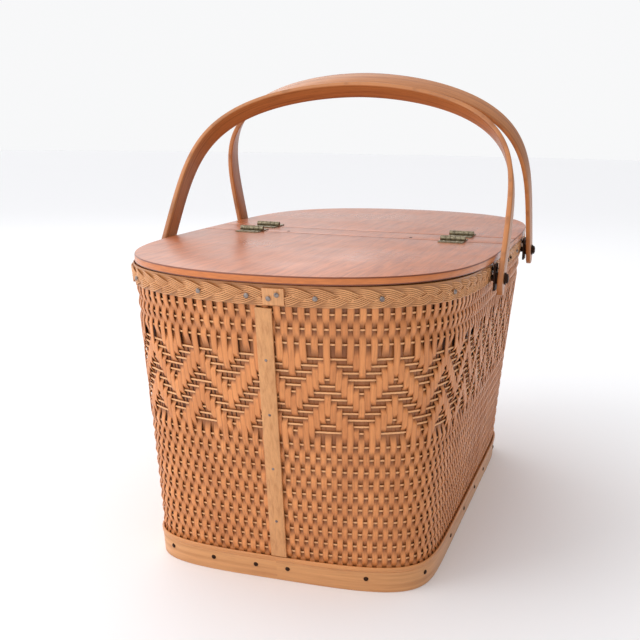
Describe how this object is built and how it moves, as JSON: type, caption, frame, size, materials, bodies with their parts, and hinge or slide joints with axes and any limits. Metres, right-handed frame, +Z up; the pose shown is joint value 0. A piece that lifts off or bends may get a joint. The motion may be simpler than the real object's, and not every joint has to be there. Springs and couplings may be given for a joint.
{
  "type": "picnic basket",
  "caption": "Tapered oblong woven splint picnic basket with a hinged two-flap plywood lid and two bentwood swing handles.",
  "frame": {"origin": "centre of the foot, on the surface the basket stands on", "axes": "+X across the basket, +Y along it towards the rear flap, +Z up; the wall's seam is on the -Y end"},
  "size_m": [0.306, 0.5372, 0.395],
  "materials": {
    "base_ply": "sanded plywood",
    "splint": "woven splint, shellacked",
    "foot_strip": "bent wood strip, shellacked",
    "rim_wood": "bent wood, shellacked",
    "plait": "plaited reed, shellacked",
    "batten": "flat wood strip",
    "tack_steel": "dull steel",
    "dark_steel": "blackened steel",
    "lid_veneer": "varnished mahogany plywood",
    "hinge_brass": "aged brass",
    "bentwood": "varnished bentwood"
  },
  "bodies": {
    "basket": {"base_board": "base_ply", "woven_wall": "splint", "foot_band": "foot_strip", "foot_bead": "foot_strip", "outer_rim_hoop": "rim_wood", "inner_rim_hoop": "rim_wood", "cross_brace": "rim_wood", "braid_trim": "plait", "braid_end_tab": "plait", "seam_batten": "batten", "inner_seam_batten": "batten", "batten_pins": "tack_steel", "braid_tacks": "tack_steel", "bar_nails": "tack_steel", "brace_nails": "tack_steel", "foot_tacks": "dark_steel", "centre_bar": "lid_veneer", "bar_leaf_front_left": "hinge_brass", "hinge_pin_front_left": "hinge_brass", "bar_leaf_front_right": "hinge_brass", "hinge_pin_front_right": "hinge_brass", "bar_leaf_rear_left": "hinge_brass", "hinge_pin_rear_left": "hinge_brass", "bar_leaf_rear_right": "hinge_brass", "hinge_pin_rear_right": "hinge_brass", "bar_leaf_screws": "hinge_brass", "plate_front_left": "dark_steel", "plate_front_right": "dark_steel", "plate_rear_left": "dark_steel", "plate_rear_right": "dark_steel", "plate_rivets": "dark_steel", "pivot_bolts": "dark_steel", "inner_washers": "dark_steel", "outer_washers": "dark_steel", "pivot_nuts": "dark_steel"},
    "front_flap": {"front_flap_board": "lid_veneer", "flap_leaf_front_left": "hinge_brass", "flap_leaf_front_right": "hinge_brass", "front_leaf_screws": "hinge_brass"},
    "rear_flap": {"rear_flap_board": "lid_veneer", "flap_leaf_rear_left": "hinge_brass", "flap_leaf_rear_right": "hinge_brass", "rear_leaf_screws": "hinge_brass"},
    "front_handle": {"front_handle_bow": "bentwood"},
    "rear_handle": {"rear_handle_bow": "bentwood"}
  },
  "joints": [
    {"name": "front_flap_hinge", "type": "hinge", "parent": "basket", "child": "front_flap", "pos_m": [0, -0.0218, 0.2524], "axis": [-1, 0, 0], "range_deg": [0, 50]},
    {"name": "rear_flap_hinge", "type": "hinge", "parent": "basket", "child": "rear_flap", "pos_m": [0, 0.0218, 0.2524], "axis": [1, 0, 0], "range_deg": [0, 50]},
    {"name": "front_handle_pivot", "type": "hinge", "parent": "basket", "child": "front_handle", "pos_m": [0, -0.0975, 0.2315], "axis": [1, 0, 0], "range_deg": [0, 155]},
    {"name": "rear_handle_pivot", "type": "hinge", "parent": "basket", "child": "rear_handle", "pos_m": [0, 0.0975, 0.2315], "axis": [-1, 0, 0], "range_deg": [0, 150]}
  ]
}
